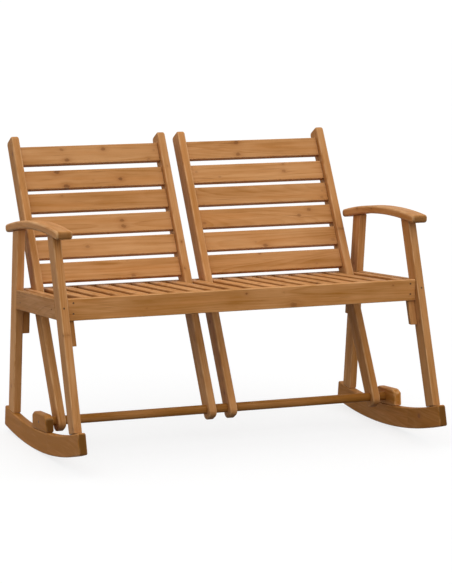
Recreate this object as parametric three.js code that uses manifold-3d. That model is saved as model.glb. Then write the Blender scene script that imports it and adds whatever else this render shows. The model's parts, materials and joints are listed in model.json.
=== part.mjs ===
// A rocking bench for two in solid wood. Two separate slatted backs hang on one cross rod near the floor,
// pass up through slots in the seat and lean on the ledger under its rear end.
// Millimetres. +X runs to the right seen from the front, +Y to the back and +Z up.

import * as THREE from "three";
import { mergeVertices } from "three/addons/utils/BufferGeometryUtils.js";
import Module from "manifold-3d";

const wasm = await Module();
wasm.setup();

const radians = THREE.MathUtils.degToRad;

// Frame
const benchWidth = 1162; // across the outer faces of the legs
const boardThickness = 25; // legs, rockers and rod blocks
const seatDepth = 430; // front rail's face to the rear legs, at the height of the rail's top
const seatHeight = 492.5; // top of the front rail over the floor
const seatSlope = radians(3.6); // the seat falls to the back
const legWidth = 53.5;
const frontLegLean = radians(18.75); // the top leans back
const rearLegLean = radians(-7.1); // the top leans forward
const frontLegLead = 3; // how far the front legs stand in front of the rail, at its top

// Rails, ledgers and cleats
const railThickness = 20;
const frontRailHeight = 65;
const sideRailHeight = 60;
const rearRailHeight = 60;
const ledgerDepth = 24;
const ledgerHeight = 40;
const rearLedgerSetback = 10.5; // its upper front edge, behind the face of the rear legs
const cleatWidth = 22; // across the bench
const frontCleatDepth = 16;
const frontCleatInset = 5; // in front of the back of the leg
const frontCleatDrop = 72; // how far it shows under the front rail
const rearCleatDepth = 18;
const rearCleatDrop = 78; // its length under the rear ledger
const rearCleatInset = 4; // behind the face of the leg

// Seat
const stripThickness = 20;
const stripWidth = 34.5;
const edgeStripWidth = 21;
const edgeStripSpace = 10.8; // open space between an edge strip and its side rail
const middleStripSpace = 4.1; // between the middle strip and each stile beside it
const lastStripSpace = 11; // between the last strip of a seat and the outer stile
const stripsPerSeat = 8;
const stripDrop = 2.5; // how far the strips lie below the top of the front rail

// Rockers
const rockerRadius = 1851; // of the lower edge
const rockerHeight = 64;
const rockerFront = 177; // the tip's reach in front of the front rail
const rockerRear = 582; // the tail's reach behind the front rail's face
const balancePoint = 327; // where the bench stands on the floor, behind the front rail's face
const standingFlat = 30; // length of the lowest facet, on which the bench stands still
const rockerNoseRadius = 8;

// Cross rod, its blocks and its screws
const rodRadius = 13.75;
const rodHeight = 26.4; // axis over the top edge of the rocker
const rodAhead = 110.5; // axis in front of the balance point, along the top edge of the rocker
const rodSocketDepth = 12;
const blockHeight = 53;
const blockFront = 76; // reach in front of the rod's axis
const blockRear = 68; // reach behind it
const blockChamferLength = 20;
const blockChamferHeight = 10.5;
const screwHeadRadius = 4.5;
const screwHeadDepth = 3;
const screwShankRadius = 2.2;
const screwLength = 40;

// Armrests
const armrestWidth = 50.5;
const armrestThickness = 25;
const armrestOutset = 9; // outer face beyond the face of the leg
const armrestTop = 696;
const armrestRadius = 1675;
const armrestPeak = 145; // highest point, behind the front rail's face
const armrestFrontOverhang = 66;
const armrestRearOverhang = 52;
const armrestEndRadius = 10;

// Backs
const stileThickness = 25;
const stileDepth = 58;
const stileTail = 30; // end below the rod's axis
const stileTopRadius = 12;
const stileTailRadius = 20;
const slatsPerBack = 6;
const slatHeight = 61.5;
const slatThickness = 20;
const slatGap = 15.7;
const topSlatGap = 21.5; // between the first and second slat
const topSlatDrop = 32; // below the ends of the stiles
const slatsOverSeat = 12.8; // lowest slat over the seat, along the stiles
const slatRecess = 17.8; // behind the front edges of the stiles

// Clearances and steps
const jointGap = 0.3; // glue line between pieces that are fixed to each other
const seatGap = 0.3; // between a back at rest and the ledger that it leans on
const rodClearance = 0.5;
const slotClearance = 0.9; // between a stile and the nearer strip beside it
const overrun = 5; // how far a cutter runs past the piece
const facetLength = 20; // of the long arcs
const cornerSteps = 6;
const roundSides = 48;

const woodTones = { seat: "#bd8a57", back: "#b88353", frame: "#a57346", rocker: "#8f6339", rod: "#9c6c40" };

// Points and lines in the side plane, where x runs to the back of the bench and y runs up

function point(back, up) {
  return new THREE.Vector2(back, up);
}

// A line that rises, its top leaning back by an angle.
function leaningLine(from, lean) {
  return { from, along: point(Math.sin(lean), Math.cos(lean)) };
}

// A line that runs back and falls by an angle.
function fallingLine(from, slope) {
  return { from, along: point(Math.cos(slope), -Math.sin(slope)) };
}

// The same line moved square to itself: a leaning line to the back, a falling line down.
function moved(line, distance) {
  const square = point(line.along.y, -line.along.x);
  return { from: line.from.clone().addScaledVector(square, distance), along: line.along };
}

// The lean of a line from the origin that passes in front of a place, at a distance from it.
function leanPast(place, distance) {
  return Math.atan2(place.x, place.y) - Math.asin(distance / place.length());
}

function crossing(line, other) {
  const between = other.from.clone().sub(line.from);
  const reach = between.cross(other.along) / line.along.cross(other.along);
  return line.from.clone().addScaledVector(line.along, reach);
}

// Where a rising line leaves a circle at the top, or enters it at the bottom.
function circleCrossing(line, circle, atTop) {
  const offset = line.from.clone().sub(circle.centre);
  const middle = -offset.dot(line.along);
  const half = Math.sqrt(middle ** 2 - offset.lengthSq() + circle.radius ** 2);
  return line.from.clone().addScaledVector(line.along, atTop ? middle + half : middle - half);
}

function resized(circle, growth) {
  return { centre: circle.centre, radius: circle.radius + growth };
}

function angleOf(circle, place) {
  return place.clone().sub(circle.centre).angle();
}

// Points along a long arc, in facets of about one length.
function arc(circle, fromAngle, toAngle) {
  const steps = Math.ceil((Math.abs(toAngle - fromAngle) * circle.radius) / facetLength);
  return Array.from({ length: steps + 1 }, (_, step) => {
    const angle = THREE.MathUtils.lerp(fromAngle, toAngle, step / steps);
    return circle.centre.clone().add(point(Math.cos(angle), Math.sin(angle)).multiplyScalar(circle.radius));
  });
}

function rounded(corner, radius) {
  return Object.assign(corner.clone(), { radius });
}

// Solids

// A closed shape through the corners, with an arc at each corner that has a radius.
function shapeOf(corners) {
  const shape = new THREE.Shape();
  corners.forEach((corner, index) => {
    if (!corner.radius) {
      if (index === 0) shape.moveTo(corner.x, corner.y);
      else shape.lineTo(corner.x, corner.y);
      return;
    }
    const before = corners.at(index - 1).clone().sub(corner).normalize();
    const after = corners[(index + 1) % corners.length].clone().sub(corner).normalize();
    const halfAngle = Math.acos(before.dot(after)) / 2;
    const inward = before.clone().add(after).normalize();
    const centre = corner.clone().addScaledVector(inward, corner.radius / Math.sin(halfAngle));
    const tangent = corner.radius / Math.tan(halfAngle);
    const start = corner.clone().addScaledVector(before, tangent).sub(centre).angle();
    const end = corner.clone().addScaledVector(after, tangent).sub(centre).angle();
    shape.absarc(centre.x, centre.y, corner.radius, start, end, after.cross(before) < 0);
  });
  return shape;
}

// A board sawn to an outline, its thickness along the third axis.
function board(corners, thickness) {
  const options = { depth: thickness, bevelEnabled: false, curveSegments: cornerSteps };
  return new THREE.ExtrudeGeometry(shapeOf(corners), options);
}

// A round solid along the third axis, from (radius, distance) pairs.
function turned(profile) {
  return new THREE.LatheGeometry(profile.map(([radius, along]) => point(radius, along)), roundSides).rotateX(
    Math.PI / 2,
  );
}

function cylinder(radius, start, end) {
  return turned([[0, start], [radius, start], [radius, end], [0, end]]);
}

function solidOf(geometry) {
  const bare = geometry.clone();
  bare.deleteAttribute("normal");
  bare.deleteAttribute("uv");
  const merged = mergeVertices(bare);
  const vertProperties = merged.attributes.position.array;
  const triVerts = Uint32Array.from(merged.index.array);
  return new wasm.Manifold(new wasm.Mesh({ numProp: 3, vertProperties, triVerts }));
}

// A geometry less its cutters.
function cut(geometry, cutters) {
  const left = cutters.reduce((solid, cutter) => solid.subtract(solidOf(cutter)), solidOf(geometry));
  const mesh = left.getMesh();
  const result = new THREE.BufferGeometry();
  result.setAttribute("position", new THREE.BufferAttribute(Float32Array.from(mesh.vertProperties), 3));
  result.setIndex(new THREE.BufferAttribute(Uint32Array.from(mesh.triVerts), 1));
  result.computeVertexNormals();
  return result;
}

function wood(tone) {
  return new THREE.MeshStandardMaterial({ color: woodTones[tone], roughness: 0.6, metalness: 0 });
}

function steel() {
  return new THREE.MeshStandardMaterial({ color: "#6b625a", roughness: 0.45, metalness: 0.9 });
}

function add(group, name, geometry, material, across) {
  const mesh = new THREE.Mesh(geometry, material);
  mesh.name = name;
  mesh.position.z = across;
  group.add(mesh);
  return mesh;
}

// The same board on both sides of the bench, its near face at a distance from the middle.
function addPair(group, name, geometry, makeMaterial, nearFace) {
  add(group, `${name}_right`, geometry, makeMaterial(), nearFace);
  add(group, `${name}_left`, geometry, makeMaterial(), -nearFace).scale.z = -1;
}

// A board that crosses the middle of the bench.
function addAcross(group, name, corners, width, material) {
  add(group, name, board(corners, width), material, -width / 2);
}

// Faces that several pieces share
const halfWidth = benchWidth / 2;
const legInnerFace = halfWidth - boardThickness;
const sideRailInnerFace = halfWidth - railThickness;
const cleatInnerFace = legInnerFace - cleatWidth;
const frontRailBottom = seatHeight - frontRailHeight;

const frontLegFace = leaningLine(point(-frontLegLead, seatHeight), frontLegLean);
const frontLegBack = moved(frontLegFace, legWidth);
const rearLegFace = leaningLine(point(seatDepth, seatHeight), rearLegLean);
const rearLegBack = moved(rearLegFace, legWidth);

const seatTop = fallingLine(point(0, seatHeight - stripDrop), seatSlope);
const seatUnderside = moved(seatTop, stripThickness);
const bearerTop = moved(seatUnderside, jointGap);

const rockerEdge = { centre: point(balancePoint, rockerRadius), radius: rockerRadius };
const rockerTopEdge = resized(rockerEdge, -rockerHeight);
const overRocker = resized(rockerTopEdge, -jointGap);

const armrestEdge = { centre: point(armrestPeak, armrestTop - armrestRadius), radius: armrestRadius };
const armrestUnderside = resized(armrestEdge, -armrestThickness);
const underArmrest = resized(armrestUnderside, -jointGap);

// A point over the rocker's top edge: a distance along it from the balance point, and a height over it.
function overRockerPoint(along, height) {
  const angle = along / rockerTopEdge.radius;
  const reach = rockerTopEdge.radius - height;
  return rockerTopEdge.centre.clone().add(point(Math.sin(angle), -Math.cos(angle)).multiplyScalar(reach));
}

const rodAxis = overRockerPoint(-rodAhead, rodHeight);

// The rear rail's upright faces. Its top ends level with the seat, at the rear faces of the legs.
const rearRailBack = leaningLine(crossing(rearLegBack, seatTop), 0);
const rearRailFace = moved(rearRailBack, -railThickness);

// The rear ledger's upper front edge, and the lean of a back that rests on it
const rearLedgerCorner = crossing(moved(rearLegFace, rearLedgerSetback), bearerTop);
const backLean = leanPast(rearLedgerCorner.clone().sub(rodAxis), stileDepth / 2 + seatGap);

// Along a stile from the rod's axis: to the seat behind the slats, and to the stile's end
const slatRearFace = moved(leaningLine(rodAxis, backLean), slatRecess + slatThickness - stileDepth / 2);
const seatRise = crossing(slatRearFace, seatTop).sub(rodAxis).dot(slatRearFace.along);
const slatsRise = slatsPerBack * slatHeight + topSlatGap + (slatsPerBack - 2) * slatGap;
const stileRise = seatRise + slatsOverSeat + slatsRise + topSlatDrop;

// Across the seat, from the middle strip out to the edge strip
const edgeStripOuterFace = sideRailInnerFace - edgeStripSpace;
const edgeStripInnerFace = edgeStripOuterFace - edgeStripWidth;
const outerStileFace = edgeStripInnerFace - slotClearance - stileThickness;
const innerStileFace = stripWidth / 2 + middleStripSpace;
const firstStripFace = innerStileFace + stileThickness + slotClearance;
const lastStripFace = outerStileFace - lastStripSpace;
const stripPitch = (lastStripFace - firstStripFace - stripWidth) / (stripsPerSeat - 1);

// Pieces of the frame

function rockerCorners() {
  const frontAngle = -Math.PI / 2 - Math.asin((balancePoint + rockerFront) / rockerRadius);
  const rearAngle = -Math.PI / 2 + Math.asin((rockerRear - balancePoint) / rockerRadius);
  const halfFlatAngle = Math.asin(standingFlat / 2 / rockerRadius);
  const topEdge = arc(rockerTopEdge, rearAngle, frontAngle);
  return [
    ...arc(rockerEdge, frontAngle, -Math.PI / 2 - halfFlatAngle),
    ...arc(rockerEdge, -Math.PI / 2 + halfFlatAngle, rearAngle),
    ...topEdge.slice(0, -1),
    rounded(topEdge.at(-1), rockerNoseRadius),
  ];
}

function legCorners(face, back) {
  return [
    circleCrossing(face, overRocker, false),
    circleCrossing(back, overRocker, false),
    circleCrossing(back, underArmrest, true),
    circleCrossing(face, underArmrest, true),
  ];
}

function armrestCorners() {
  const front = circleCrossing(frontLegFace, armrestUnderside, true).x - armrestFrontOverhang;
  const rear = circleCrossing(rearLegBack, armrestUnderside, true).x + armrestRearOverhang;
  const frontAngle = Math.acos((front - armrestPeak) / armrestRadius);
  const rearAngle = Math.acos((rear - armrestPeak) / armrestRadius);
  const underside = arc(armrestUnderside, frontAngle, rearAngle);
  const topEdge = arc(armrestEdge, rearAngle, frontAngle);
  return [
    rounded(underside[0], armrestEndRadius),
    ...underside.slice(1, -1),
    rounded(underside.at(-1), armrestEndRadius),
    rounded(topEdge[0], armrestEndRadius),
    ...topEdge.slice(1, -1),
    rounded(topEdge.at(-1), armrestEndRadius),
  ];
}

function frontRailCorners() {
  return [
    point(0, frontRailBottom),
    point(railThickness, frontRailBottom),
    point(railThickness, seatHeight),
    point(0, seatHeight),
  ];
}

// A side rail, or the ledger inside it, fits between the front and rear legs.
function sideBearerCorners(topLine, height) {
  const front = moved(frontLegBack, jointGap);
  const rear = moved(rearLegFace, -jointGap);
  const bottomLine = moved(topLine, height);
  return [
    crossing(front, bottomLine),
    crossing(rear, bottomLine),
    crossing(rear, topLine),
    crossing(front, topLine),
  ];
}

// A rail or ledger across the bench, with upright faces. Its top follows the seat.
function bearerCorners(front, depth, topLine, height) {
  const frontFace = leaningLine(point(front, 0), 0);
  const topFront = crossing(frontFace, topLine);
  const topRear = crossing(moved(frontFace, depth), topLine);
  return [
    point(topFront.x, topFront.y - height),
    point(topRear.x, topFront.y - height),
    topRear,
    topFront,
  ];
}

// The front cleat backs the leg and carries the front rail on a shoulder.
function frontCleatCorners() {
  const back = moved(frontLegBack, -frontCleatInset);
  const face = moved(back, -frontCleatDepth);
  const bottom = fallingLine(point(0, frontRailBottom - frontCleatDrop), 0);
  const shoulder = fallingLine(point(0, frontRailBottom - jointGap), 0);
  const railBack = leaningLine(point(railThickness + jointGap, 0), 0);
  return [
    crossing(face, bottom),
    crossing(back, bottom),
    crossing(back, bearerTop),
    crossing(railBack, bearerTop),
    crossing(railBack, shoulder),
    crossing(face, shoulder),
  ];
}

// The rear cleat stands inside the leg, with the rear ledger on its top.
function rearCleatCorners() {
  const ledgerBottom = rearLedgerCorner.y - ledgerHeight;
  const face = moved(rearLegFace, rearCleatInset);
  const back = moved(face, rearCleatDepth);
  const top = fallingLine(point(0, ledgerBottom - jointGap), 0);
  const bottom = moved(top, rearCleatDrop);
  return [crossing(face, bottom), crossing(back, bottom), crossing(back, top), crossing(face, top)];
}

// A seat strip runs from the front rail to the rear rail.
function stripCorners() {
  const front = leaningLine(point(railThickness + jointGap, 0), 0);
  const rear = moved(rearRailFace, -jointGap);
  return [
    crossing(front, seatUnderside),
    crossing(rear, seatUnderside),
    crossing(rear, seatTop),
    crossing(front, seatTop),
  ];
}

function rodBlockCorners() {
  const front = -rodAhead - blockFront;
  const rear = -rodAhead + blockRear;
  const base = arc(
    overRocker,
    angleOf(overRocker, overRockerPoint(front, jointGap)),
    angleOf(overRocker, overRockerPoint(rear, jointGap)),
  );
  const shoulder = blockHeight - blockChamferHeight;
  return [
    ...base,
    overRockerPoint(rear, shoulder),
    overRockerPoint(rear - blockChamferLength, blockHeight),
    overRockerPoint(front + blockChamferLength, blockHeight),
    overRockerPoint(front, shoulder),
  ];
}

// A countersunk screw, its head's face at zero and its point inwards. Spare makes the hole for it.
function screwProfile(spare) {
  return [
    [0, -screwLength - spare],
    [screwShankRadius + spare, -screwLength - spare],
    [screwShankRadius + spare, -screwHeadDepth - spare],
    [screwHeadRadius + spare, 0],
    ...(spare > 0 ? [[screwHeadRadius + spare, overrun], [0, overrun]] : [[0, 0]]),
  ];
}

function onRodAxis(geometry, along) {
  return geometry.translate(rodAxis.x, rodAxis.y, along);
}

function rodBlock() {
  const socket = onRodAxis(cylinder(rodRadius + jointGap, -overrun, rodSocketDepth), 0);
  const screwHole = onRodAxis(turned(screwProfile(jointGap)), boardThickness);
  return cut(board(rodBlockCorners(), boardThickness), [socket, screwHole]);
}

function rod() {
  const reach = legInnerFace + rodSocketDepth - jointGap;
  const rightHole = turned(screwProfile(jointGap)).translate(0, 0, halfWidth);
  const leftHole = rightHole.clone().rotateX(Math.PI);
  return onRodAxis(cut(cylinder(rodRadius, -reach, reach), [rightHole, leftHole]), 0);
}

// Pieces of a back, drawn upright with the rod's axis at zero

function stile() {
  const halfDepth = stileDepth / 2;
  const outline = board(
    [
      rounded(point(-halfDepth, -stileTail), stileTailRadius),
      rounded(point(halfDepth, -stileTail), stileTailRadius),
      rounded(point(halfDepth, stileRise), stileTopRadius),
      rounded(point(-halfDepth, stileRise), stileTopRadius),
    ],
    stileThickness,
  );
  return cut(outline, [cylinder(rodRadius + rodClearance, -overrun, stileThickness + overrun)]);
}

function slatCorners(top) {
  const front = -stileDepth / 2 + slatRecess;
  const rear = front + slatThickness;
  const bottom = top - slatHeight;
  return [point(front, bottom), point(rear, bottom), point(rear, top), point(front, top)];
}

function addBack(group, side) {
  const name = side > 0 ? "back_right" : "back_left";
  const back = new THREE.Group();
  back.position.set(rodAxis.x, rodAxis.y, 0);
  back.rotation.z = -backLean;
  back.scale.z = side;
  group.add(back);
  add(back, `${name}_inner_stile`, stile(), wood("back"), innerStileFace);
  add(back, `${name}_outer_stile`, stile(), wood("back"), outerStileFace);
  const slatStart = innerStileFace + stileThickness + jointGap;
  const slatLength = outerStileFace - jointGap - slatStart;
  let top = stileRise - topSlatDrop;
  for (let slat = 1; slat <= slatsPerBack; slat += 1) {
    add(back, `${name}_slat_${slat}`, board(slatCorners(top), slatLength), wood("back"), slatStart);
    top -= slatHeight + (slat === 1 ? topSlatGap : slatGap);
  }
}

function addSeat(group) {
  const corners = stripCorners();
  addAcross(group, "seat_strip_middle", corners, stripWidth, wood("seat"));
  for (let strip = 1; strip <= stripsPerSeat; strip += 1) {
    const nearFace = firstStripFace + (strip - 1) * stripPitch;
    addPair(group, `seat_strip_${strip}`, board(corners, stripWidth), () => wood("seat"), nearFace);
  }
  addPair(group, "seat_edge_strip", board(corners, edgeStripWidth), () => wood("seat"), edgeStripInnerFace);
}

function addFrame(group) {
  const frameWood = () => wood("frame");
  const railLength = 2 * (legInnerFace - jointGap);
  const frontLeg = board(legCorners(frontLegFace, frontLegBack), boardThickness);
  const rearLeg = board(legCorners(rearLegFace, rearLegBack), boardThickness);
  addPair(group, "front_leg", frontLeg, frameWood, legInnerFace);
  addPair(group, "rear_leg", rearLeg, frameWood, legInnerFace);
  addPair(group, "side_rail", board(sideBearerCorners(seatTop, sideRailHeight), railThickness), frameWood,
    sideRailInnerFace);
  const ledgerWidth = sideRailInnerFace - jointGap - cleatInnerFace;
  addPair(group, "side_ledger", board(sideBearerCorners(bearerTop, ledgerHeight), ledgerWidth), frameWood,
    cleatInnerFace);
  const cleatWide = cleatWidth - jointGap;
  addPair(group, "front_cleat", board(frontCleatCorners(), cleatWide), frameWood, cleatInnerFace);
  addPair(group, "rear_cleat", board(rearCleatCorners(), cleatWide), frameWood, cleatInnerFace);
  addAcross(group, "front_rail", frontRailCorners(), railLength, frameWood());
  const rearRail = bearerCorners(rearRailFace.from.x, railThickness, seatTop, rearRailHeight);
  addAcross(group, "rear_rail", rearRail, railLength, frameWood());
  const rearLedgerDepth = rearRailFace.from.x - jointGap - rearLedgerCorner.x;
  const rearLedger = bearerCorners(rearLedgerCorner.x, rearLedgerDepth, bearerTop, ledgerHeight);
  addAcross(group, "rear_ledger", rearLedger, railLength, frameWood());
  const frontLedger = bearerCorners(railThickness + jointGap, ledgerDepth, bearerTop, ledgerHeight);
  addAcross(group, "front_ledger", frontLedger, 2 * (cleatInnerFace - jointGap), frameWood());
  const armrestNearFace = halfWidth + armrestOutset - armrestWidth;
  addPair(group, "armrest", board(armrestCorners(), armrestWidth), frameWood, armrestNearFace);
}

function addBase(group) {
  addPair(group, "rocker", board(rockerCorners(), boardThickness), () => wood("rocker"), legInnerFace);
  addPair(group, "rod_block", rodBlock(), () => wood("rocker"), legInnerFace);
  addPair(group, "rod_screw", onRodAxis(turned(screwProfile(0)), 0), steel, halfWidth);
  add(group, "rod", rod(), wood("rod"), 0);
}

// The whole bench, drawn in its side plane and turned upright
const bench = new THREE.Group();
const acrossAxis = new THREE.Vector3(1, 0, 0);
const backAxis = new THREE.Vector3(0, 1, 0);
const upAxis = new THREE.Vector3(0, 0, 1);
bench.quaternion.setFromRotationMatrix(new THREE.Matrix4().makeBasis(backAxis, upAxis, acrossAxis));
addBase(bench);
addFrame(bench);
addSeat(bench);
addBack(bench, -1);
addBack(bench, 1);

// The origin lies on the floor, under the middle of the bench
const extent = new THREE.Box3().setFromObject(bench, true);
bench.position.set(0, -(extent.min.y + extent.max.y) / 2, -extent.min.z);

export default bench;
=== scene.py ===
import json
import math
import random

import bmesh
import bpy
import numpy as np
from mathutils import Matrix, Vector


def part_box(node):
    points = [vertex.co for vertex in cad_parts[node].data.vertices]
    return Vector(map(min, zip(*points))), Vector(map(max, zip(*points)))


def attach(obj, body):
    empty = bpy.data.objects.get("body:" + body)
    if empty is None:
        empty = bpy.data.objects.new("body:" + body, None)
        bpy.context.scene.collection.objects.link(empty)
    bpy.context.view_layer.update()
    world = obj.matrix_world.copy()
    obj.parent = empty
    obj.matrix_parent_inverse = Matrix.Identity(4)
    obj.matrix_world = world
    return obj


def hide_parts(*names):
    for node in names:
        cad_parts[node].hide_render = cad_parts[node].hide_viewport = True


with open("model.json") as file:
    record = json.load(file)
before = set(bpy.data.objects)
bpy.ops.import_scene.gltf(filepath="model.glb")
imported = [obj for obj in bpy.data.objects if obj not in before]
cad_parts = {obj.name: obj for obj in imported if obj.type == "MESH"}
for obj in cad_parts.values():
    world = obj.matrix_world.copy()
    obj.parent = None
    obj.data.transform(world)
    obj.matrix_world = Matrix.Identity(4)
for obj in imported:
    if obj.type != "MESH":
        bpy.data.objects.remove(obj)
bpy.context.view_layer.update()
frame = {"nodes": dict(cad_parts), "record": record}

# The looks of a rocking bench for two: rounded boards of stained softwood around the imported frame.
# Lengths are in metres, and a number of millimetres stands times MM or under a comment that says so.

MM = 0.001

# Camera, at the place and angle that the photograph was taken from
CAMERA_PLACE = (-2.64241, -6.81023, 1.50771)
CAMERA_YAW, CAMERA_PITCH, CAMERA_ROLL = 21.468, 8.250, -0.042
CAMERA_SENSOR, CAMERA_LENS = 36.0, 148.515  # mm
CAMERA_NEAR, CAMERA_FAR = 0.1, 100.0

# Light: the world and two wide lamps. A strength of 1 alone would show a face that is square to the
# light in its colour as written.
WORLD_LIGHT = 0.88
KEY_LIGHT = 0.2
KEY_FROM = (-0.05, -0.9, 0.4)
TOP_LIGHT = 0.15
TOP_FROM = (0.0, -0.1, 1.0)
LAMP_SPREAD = 70.0  # degrees

# Floor: half its width, its squares along a side, its grey for light that goes on to the bench and for the
# camera, and how much of the bench's shadow it shows
FLOOR_HALF = 60.0
FLOOR_SQUARES = 8
FLOOR_BOUNCE = 0.05
FLOOR_PALE = 1.0
SHADOW_SHARE = 0.25

WHITE = (1.0, 1.0, 1.0, 1.0)

# Colours of the wood and the screws, in screen values
LIGHT_GRAIN = (202, 149, 98)
MID_GRAIN = (187, 132, 80)
DARK_GRAIN = (153, 98, 36)
ORANGE_GRAIN = (194, 127, 65)
END_GRAIN = (98, 62, 22)
VEIN = (132, 84, 42)
KNOT_HALO = (154, 98, 52)
KNOT_CORE = (116, 72, 38)
# The lighter colour of the rounded edges is partly wear and partly a painted highlight
EDGE_WEAR_AND_HIGHLIGHT = (221, 175, 126)
STEEL_DARK = (66, 50, 36)
STEEL_PALE = (98, 78, 58)

# What the painted shade on the sides of the seat strips, where they face each other, leaves of each colour
# channel
PAINTED_GAP_TINT = (0.62, 0.5, 0.36, 1.0)

# Patterns in the wood: how often each changes in a metre along, across and through a board
DRIFT_SCALE = (1.4, 8.0, 8.0)
STREAK_SCALE = (2.6, 78.0, 78.0)
FIBRE_SCALE = (11.0, 430.0, 430.0)
BLOTCH_SCALE = (5.0, 17.0, 17.0)
WARMTH_SCALE = (3.2, 34.0, 34.0)
VEIN_SCALE = (7.0, 240.0, 240.0)
EDGE_WEAR_AND_HIGHLIGHT_SCALE = (24.0, 60.0, 60.0)
SWELL_SCALE = (22.0, 40.0, 40.0)
KNOT_RIM_SCALE = (170.0, 260.0, 260.0)

# Patterns in the steel: how often each changes in a metre along X, Y and Z
STEEL_PATCH_SCALE = (260.0, 260.0, 260.0)
SCRATCH_SCALE = (1400.0, 300.0, 900.0)

# Shifts of the seed that keep two patterns apart, and the wood on the two sides of a glued joint
WARMTH_SHIFT = (7.0, 3.0, 5.0)
VEIN_SHIFT = (2.0, 9.0, 4.0)
JOINT_SHIFT = (5.0, 3.0, 4.0)

# Multiplied by a direction, leaves the part of it that lies across the grain
ACROSS = (0.0, 1.0, 1.0)

# Growth rings: how far they wander, how unevenly they are spaced, the weakest ring, and the darkness at
# each share of the way out from one ring to the next
DRIFT_REACH = (0.0, 20 * MM, 20 * MM)
RING_UNEVEN_SCALE, RING_UNEVEN = 0.45, 1.6
RING_WEAKEST = 0.25
RING_STOPS = ((0.12, 0.0), (0.5, 0.18), (0.82, 1.0), (0.9, 0.85))

# How much each pattern darkens the wood, and the darkness over which one colour gives way to the next
RING_DARK = 0.42
STREAK_DARK = 1.15
FIBRE_DARK = 0.5
BLOTCH_DARK = 1.25
LIGHT_TO_MID = (-0.42, 0.06)
MID_TO_DARK = (0.06, 0.72)

# Levels of a pattern between which a colour sets in, and its shares at the two
WARM_RANGE = (0.48, 0.78, 0.0, 0.42)
VEIN_RANGE = (0.69, 0.76, 0.0, 0.6)
EDGE_WEAR_AND_HIGHLIGHT_RANGE = (0.36, 0.62, 0.1, 1.0)

# Greatest shares of the colours of edge wear with its painted highlight, of end grain and of knots
EDGE_WEAR_AND_HIGHLIGHT_MOST, END_MOST, HALO_MOST, CORE_MOST = 0.55, 0.85, 0.65, 0.82

# Roughness of plain wood, what each feature adds to it, and the wood's reflection
WOOD_ROUGH = 0.48
FIBRE_ROUGH, RING_ROUGH, RUBBED_ROUGH, END_ROUGH, CORE_ROUGH = 0.2, -0.07, 0.2, 0.16, -0.08
WOOD_GLOSS = 0.07

# Levels of the steel's patches, and its roughness at the two
STEEL_ROUGH = (0.3, 0.7, 0.32, 0.55)

# Depth of the relief that each pattern leaves in the surface, and how much of it the shading shows
FIBRE_RELIEF = 0.16 * MM
RING_RELIEF = 0.07 * MM
SWELL_RELIEF = 0.5 * MM
CORE_RELIEF = -0.2 * MM
SCRATCH_RELIEF = 0.03 * MM
WOOD_BUMP = 0.7

# Ranges that each board's own grain is drawn from
SEED_DRAW = (-20.0, 20.0)
TONE_DRAW = (-0.12, 0.12)
PITH_ACROSS_DRAW, PITH_THROUGH_DRAW = (-25.0, 25.0), (38.0, 95.0)  # mm
TILT_ACROSS_DRAW, TILT_THROUGH_DRAW = (-0.03, 0.03), (-0.05, 0.05)
SPACING_DRAW = (2.6, 4.6)  # mm
SHADE_DRAW = (0.95, 1.05)

# Knots. Their shape, and by distance from the middle in radii: the ragged rim, the distances at which the
# core starts and is full, its rings, how the halo fades, and how far the grain bends round it.
KNOT_OVAL = (0.74, 1.0, 1.0)
KNOT_RAGGED = (0.3, 0.7, -0.22, 0.22)
CORE_FROM, CORE_TO = 1.2, 0.66
KNOT_RINGS, KNOT_RING_LOW = 15.0, 0.72
HALO_FADE, GRAIN_PULL = -0.24, -0.8

# Knots drawn for a board: length of board for each, how many more, and their places as shares of its size
KNOT_PITCH = 340 * MM
KNOT_EXTRA_DRAW = (0.2, 1.1)
KNOT_SPOT_DRAW = (-0.95, 0.95)
KNOT_RADIUS_DRAW = (2.6, 5.6)  # mm
KNOT_STRENGTH_DRAW = (0.45, 0.9)

# Drawn knots run through a board that is wider than this share of its thickness, and across any other
KNOT_FLAT_SHARE = 0.9

# Radius of a placed knot for each mm of its radius as seen
KNOT_SIZE = 1.2 * MM

# Dark line of a glued joint: distance from the joint at which it starts, and at which it is full
JOINT_FROM, JOINT_TO = 1.1 * MM, 0.4 * MM

# Names of the mesh attributes that the wood material reads
PLACE, WEAR_AND_HIGHLIGHT, END, PAINTED_GAP_SHADE = "place", "wear_and_highlight", "end", "painted_gap_shade"

# Meshes: vertices this near are one, faces within the first angle are one, and edges past the second are
# rounded, in so many steps. The weight is that of large faces in the shading.
WELD = 0.002 * MM
FLAT_ANGLE, SHARP_ANGLE = 0.06, 25.0  # degrees
EASE_STEPS = 4
FLAT_WEIGHT = 90

# Dot products of a direction and the grain's: below these a face is a side, and an edge runs across the
# grain. Above the last a face of the rod is one of its ends.
SIDE_LIMIT = 0.05
ACROSS_LIMIT = 0.5
ROD_END_LIMIT = 0.75

# Dot products between which a vertex begins to face a way and faces it fully
FACING_FROM, FACING_TO = 0.4, 0.9

# Bores for the rod: their rims lie within this distance of its axis, and are rounded less than the edges
RIM_REACH = 15.5 * MM
RIM_EASE = 0.7 * MM

# Rod
# The rod's darker tone is partly the wood's colour and partly painted shade under the seat
ROD_TONE, ROD_SHADE = 0.5, 0.93
ROD_CHAMFER = 1 * MM
ROD_STEPS, ROD_SIDES = 24, 64

# Screws and their holes. The cutter of a hole starts outside the board.
HOLE_RADIUS = 2.9 * MM
HOLE_DEPTH = 2.2 * MM
HOLE_OVERRUN = 2 * MM
HOLE_RIM_REACH = 1.1 * HOLE_RADIUS
HOLE_EASE = 0.3 * MM
SCREW_SIDES = 40
SCREW_RADIUS, SCREW_LENGTH, SCREW_SUNK = 2.6 * MM, 18 * MM, 1 * MM
ROD_SCREW_SUNK = 0.4 * MM

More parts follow.
